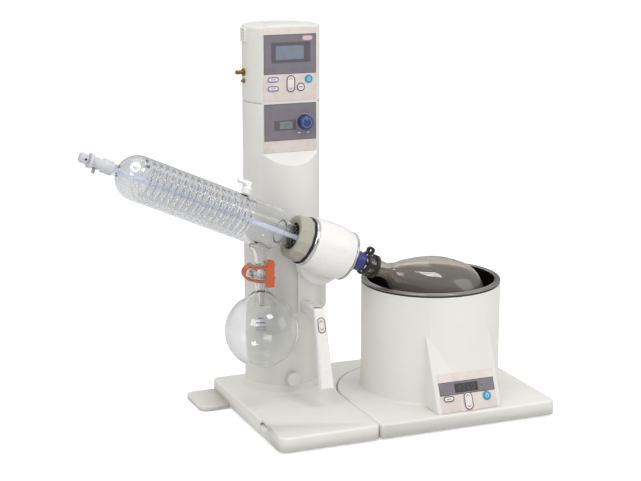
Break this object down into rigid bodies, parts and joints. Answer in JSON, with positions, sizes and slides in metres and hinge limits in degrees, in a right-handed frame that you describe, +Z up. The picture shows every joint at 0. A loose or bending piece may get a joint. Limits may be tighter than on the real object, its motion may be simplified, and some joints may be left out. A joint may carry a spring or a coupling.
{
  "type": "rotary evaporator",
  "caption": "Bench rotary evaporator: lift column with controls, tilted rotary head, diagonal glass coil condenser, receiver flask and docked round water bath.",
  "frame": {"origin": "on the bench plane, on the axis of the column", "axes": "+X from the column to the bath, +Y to the back, +Z up"},
  "size_m": [0.8314, 0.366, 0.702],
  "materials": {
    "white_case": "satin warm white",
    "white_steel": "satin warm white",
    "white_aluminium": "painted warm white",
    "bench_rubber": "matt black",
    "panel_sheet": "matt film",
    "window": "gloss dark",
    "grey_key": "satin",
    "blue_key": "gloss cyan",
    "blue_knob": "satin dark blue",
    "brass": "polished",
    "chrome": "bright",
    "steel": "turned",
    "alloy": "machined",
    "black_plastic": "matt",
    "nut_plastic": "satin beige grey",
    "indigo_plastic": "satin indigo",
    "orange_steel": "gloss orange",
    "black_seal": "matt black",
    "clear_glass": "clear",
    "frosted_plastic": "milky",
    "white_plastic": "satin",
    "pot_steel": "dark coated"
  },
  "bodies": {
    "stand": {"main_base": "white_case", "main_feet": "bench_rubber", "stabiliser_foot": "white_case", "column_foot": "white_steel", "column_shell": "white_steel", "vacuum_controller": "white_case", "controller_panel": "panel_sheet", "front_displays": "window", "speed_panel": "panel_sheet", "brass_fittings": "brass", "guide_rods": "steel", "lift_motor": "steel", "screw_block": "alloy"},
    "levelling_wheel": {"level_wheel": "white_plastic"},
    "bath": {"bath_base": "white_case", "bath_feet": "bench_rubber", "bath_housing": "white_case", "bath_pot": "pot_steel", "bath_gasket": "black_seal", "bath_heater": "steel", "bath_panel": "panel_sheet", "bath_display": "window"},
    "bath_mode": {"bath_mode_key": "grey_key"},
    "bath_set": {"bath_rocker": "grey_key"},
    "bath_power": {"bath_power_key": "blue_key"},
    "start": {"start_key": "grey_key"},
    "mode": {"mode_key": "grey_key"},
    "vacuum_set": {"vacuum_rocker": "grey_key"},
    "vent": {"vent_key": "grey_key"},
    "vacuum_power": {"vacuum_power_key": "blue_key"},
    "speed": {"speed_knob": "blue_knob"},
    "column_lock": {"lock_knob": "white_plastic"},
    "screw": {"lead_screw": "steel"},
    "carriage": {"saddle": "white_aluminium", "lift_nut": "alloy", "tilt_pin": "steel", "lift_handle": "white_case"},
    "handle_switch": {"lift_switch": "grey_key"},
    "head": {"head_housing": "white_case", "front_flange": "chrome", "end_ring": "chrome", "head_seals": "black_seal", "bearings": "steel", "drive_motor": "steel", "condenser_body": "clear_glass", "cooling_coil": "clear_glass", "feed_tube": "clear_glass", "feed_adapter": "frosted_plastic", "hose_connectors": "white_plastic", "receiver_flask": "clear_glass"},
    "condenser_nut": {"ring_nut": "nut_plastic"},
    "joint_clamp": {"fork_clamp": "orange_steel"},
    "rotor": {"hollow_shaft": "steel", "drive_gear": "steel", "vapour_tube": "clear_glass", "push_bushing": "indigo_plastic", "joint_clip": "black_plastic", "evaporating_flask": "clear_glass"},
    "pinion": {"drive_pinion": "steel"},
    "stopcock": {"stopcock_key": "white_plastic"}
  },
  "joints": [
    {"name": "lift_slide", "type": "slide", "parent": "stand", "child": "carriage", "axis": [0, 0, 1], "range_m": [0, 0.135]},
    {"name": "screw_spin", "type": "hinge", "parent": "stand", "child": "screw", "pos_m": [0.018, 0, 0.2], "axis": [0, 0, 1], "continuous": true},
    {"name": "head_tilt", "type": "hinge", "parent": "carriage", "child": "head", "pos_m": [0.04, -0.09, 0.2845], "axis": [0, -1, 0], "range_deg": [-2, 10]},
    {"name": "rotor_spin", "type": "hinge", "parent": "head", "child": "rotor", "pos_m": [0.04268, -0.127, 0.31076], "axis": [0.9135, 0, -0.4067], "continuous": true},
    {"name": "pinion_spin", "type": "hinge", "parent": "head", "child": "pinion", "pos_m": [0.02388, -0.112, 0.29067], "axis": [0.9135, 0, -0.4067], "continuous": true},
    {"name": "nut_turn", "type": "hinge", "parent": "head", "child": "condenser_nut", "pos_m": [-0.02127, -0.127, 0.33924], "axis": [0.9135, 0, -0.4067], "range_deg": [0, 90]},
    {"name": "stopcock_turn", "type": "hinge", "parent": "head", "child": "stopcock", "pos_m": [-0.39582, -0.127, 0.506], "axis": [0.9135, 0, -0.4067], "range_deg": [0, 180]},
    {"name": "clamp_off", "type": "slide", "parent": "head", "child": "joint_clamp", "axis": [0, -1, 0], "range_m": [0, 0.05]},
    {"name": "handle_rocker", "type": "hinge", "parent": "carriage", "child": "handle_switch", "pos_m": [0.0185, -0.14776, 0.17914], "axis": [1, 0, 0], "range_deg": [-3, 3], "stiffness_Nm_per_rad": 0.05},
    {"name": "bath_slide", "type": "slide", "parent": "stand", "child": "bath", "axis": [1, 0, 0], "range_m": [0, 0.015]},
    {"name": "bath_mode_press", "type": "slide", "parent": "bath", "child": "bath_mode", "axis": [0, 0.9239, -0.3827], "range_m": [0, 0.0012], "stiffness_N_per_m": 400},
    {"name": "bath_rocker_tip", "type": "hinge", "parent": "bath", "child": "bath_set", "pos_m": [0.2515, -0.27114, 0.04651], "axis": [1, 0, 0], "range_deg": [-3, 3], "stiffness_Nm_per_rad": 0.05},
    {"name": "bath_power_press", "type": "slide", "parent": "bath", "child": "bath_power", "axis": [0, 0.9239, -0.3827], "range_m": [0, 0.0012], "stiffness_N_per_m": 400},
    {"name": "start_press", "type": "slide", "parent": "stand", "child": "start", "axis": [0, 1, 0], "range_m": [0, 0.0012], "stiffness_N_per_m": 400},
    {"name": "mode_press", "type": "slide", "parent": "stand", "child": "mode", "axis": [0, 1, 0], "range_m": [0, 0.0012], "stiffness_N_per_m": 400},
    {"name": "vacuum_rocker_tip", "type": "hinge", "parent": "stand", "child": "vacuum_set", "pos_m": [0.001, -0.0464, 0.6005], "axis": [1, 0, 0], "range_deg": [-3, 3], "stiffness_Nm_per_rad": 0.05},
    {"name": "vent_press", "type": "slide", "parent": "stand", "child": "vent", "axis": [0, 1, 0], "range_m": [0, 0.0012], "stiffness_N_per_m": 400},
    {"name": "vacuum_power_press", "type": "slide", "parent": "stand", "child": "vacuum_power", "axis": [0, 1, 0], "range_m": [0, 0.0012], "stiffness_N_per_m": 400},
    {"name": "speed_turn", "type": "hinge", "parent": "stand", "child": "speed", "pos_m": [0.0264, -0.0535, 0.5309], "axis": [0, -1, 0], "range_deg": [-135, 135]},
    {"name": "column_lock_turn", "type": "hinge", "parent": "stand", "child": "column_lock", "pos_m": [-0.008, -0.075, 0.061], "axis": [0, -1, 0], "continuous": true},
    {"name": "level_turn", "type": "hinge", "parent": "stand", "child": "levelling_wheel", "pos_m": [-0.095, -0.2, 0.015], "axis": [0, 0, 1], "continuous": true}
  ],
  "couplings": [
    {"joint": "screw_spin", "follows": "lift_slide", "rad_per_m": 314.16},
    {"joint": "pinion_spin", "follows": "rotor_spin", "ratio": -2.4286}
  ]
}
